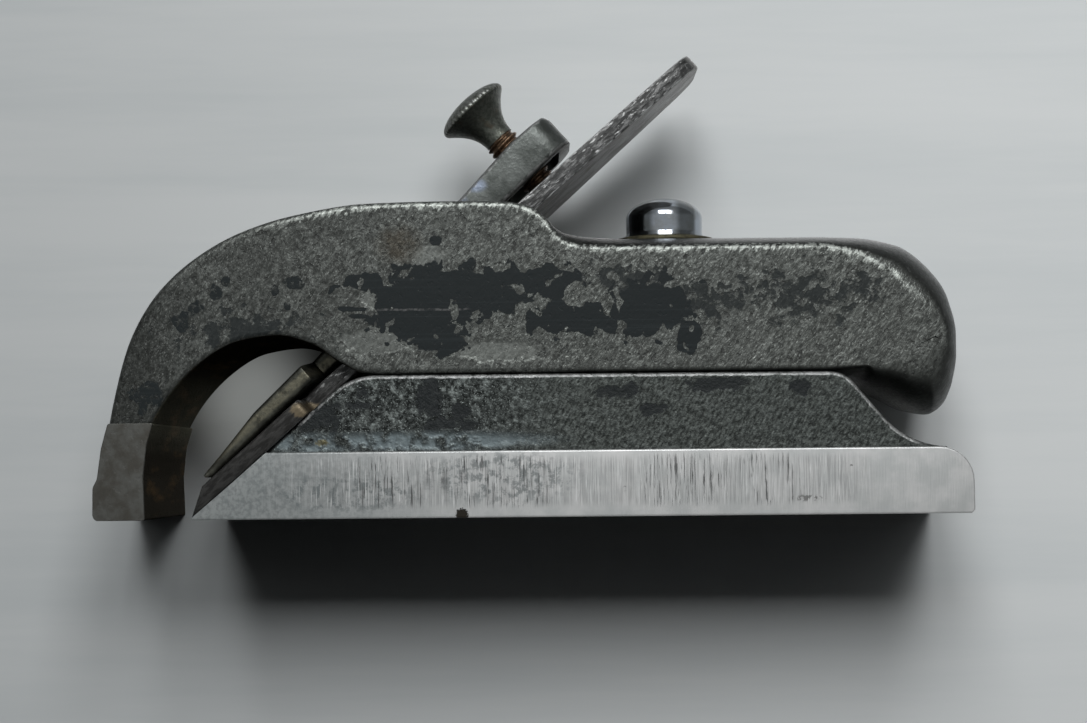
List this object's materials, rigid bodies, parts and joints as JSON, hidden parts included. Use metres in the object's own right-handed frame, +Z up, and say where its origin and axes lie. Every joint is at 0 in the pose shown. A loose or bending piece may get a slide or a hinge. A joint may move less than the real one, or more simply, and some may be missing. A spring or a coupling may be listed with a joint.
{
  "type": "rebate plane",
  "caption": "Small iron bullnose rebate plane with a short nose, bevel-up T-shaped cutter, lever cap with thumbscrew, and an upper casting that slides to set the mouth.",
  "frame": {"origin": "centre of the sole: middle of the length and width, on the sole's plane", "axes": "+X from the nose to the heel, +Y across the width, +Z up from the sole"},
  "size_m": [0.1016, 0.0254, 0.0555],
  "materials": {
    "upper_iron": "rough grey iron with worn black japanning",
    "sole_iron": "ground bright on the side bands and sole, rough and dark above",
    "cutter_steel": "dull, stained, ground at the bevel",
    "cap_iron": "dark satin",
    "thumbscrew_steel": "worn satin",
    "stud_steel": "brown with rust",
    "clamp_steel": "polished",
    "washer_brass": "tarnished"
  },
  "bodies": {
    "sole_body": {"sole_casting": "sole_iron", "clamp_washer": "washer_brass"},
    "upper_body": {"top_casting": "upper_iron"},
    "cutter_body": {"cutter": "cutter_steel"},
    "cap_body": {"lever_cap": "cap_iron"},
    "stud_body": {"thumbscrew_stud": "stud_steel"},
    "thumbscrew_body": {"thumbscrew_head": "thumbscrew_steel"},
    "clamp_body": {"clamp_screw": "clamp_steel"}
  },
  "joints": [
    {"name": "mouth_slide", "type": "slide", "parent": "sole_body", "child": "upper_body", "axis": [1, 0, 0], "range_m": [-0.002, 0.0004]},
    {"name": "cutter_slide", "type": "slide", "parent": "sole_body", "child": "cutter_body", "axis": [0.7431, 0, 0.6691], "range_m": [-0.001, 0.004]},
    {"name": "cap_tilt", "type": "hinge", "parent": "sole_body", "child": "cap_body", "pos_m": [-0.03753, 0, 0.00534], "axis": [0, 1, 0], "range_deg": [0, 1.56]},
    {"name": "thumbscrew_travel", "type": "slide", "parent": "cap_body", "child": "stud_body", "axis": [-0.6691, 0, 0.7431], "range_m": [0, 0.0014]},
    {"name": "thumbscrew_turn", "type": "hinge", "parent": "stud_body", "child": "thumbscrew_body", "pos_m": [0.0017, 0, 0.03979], "axis": [-0.6691, 0, 0.7431], "range_deg": [0, 631]},
    {"name": "clamp_turn", "type": "hinge", "parent": "sole_body", "child": "clamp_body", "pos_m": [0.0162, 0, 0.0347], "axis": [0, 0, 1], "range_deg": [0, 360]}
  ],
  "couplings": [
    {"joint": "thumbscrew_turn", "follows": "thumbscrew_travel", "rad_per_m": 7854},
    {"joint": "cap_tilt", "follows": "thumbscrew_travel", "rad_per_m": 19.157}
  ]
}
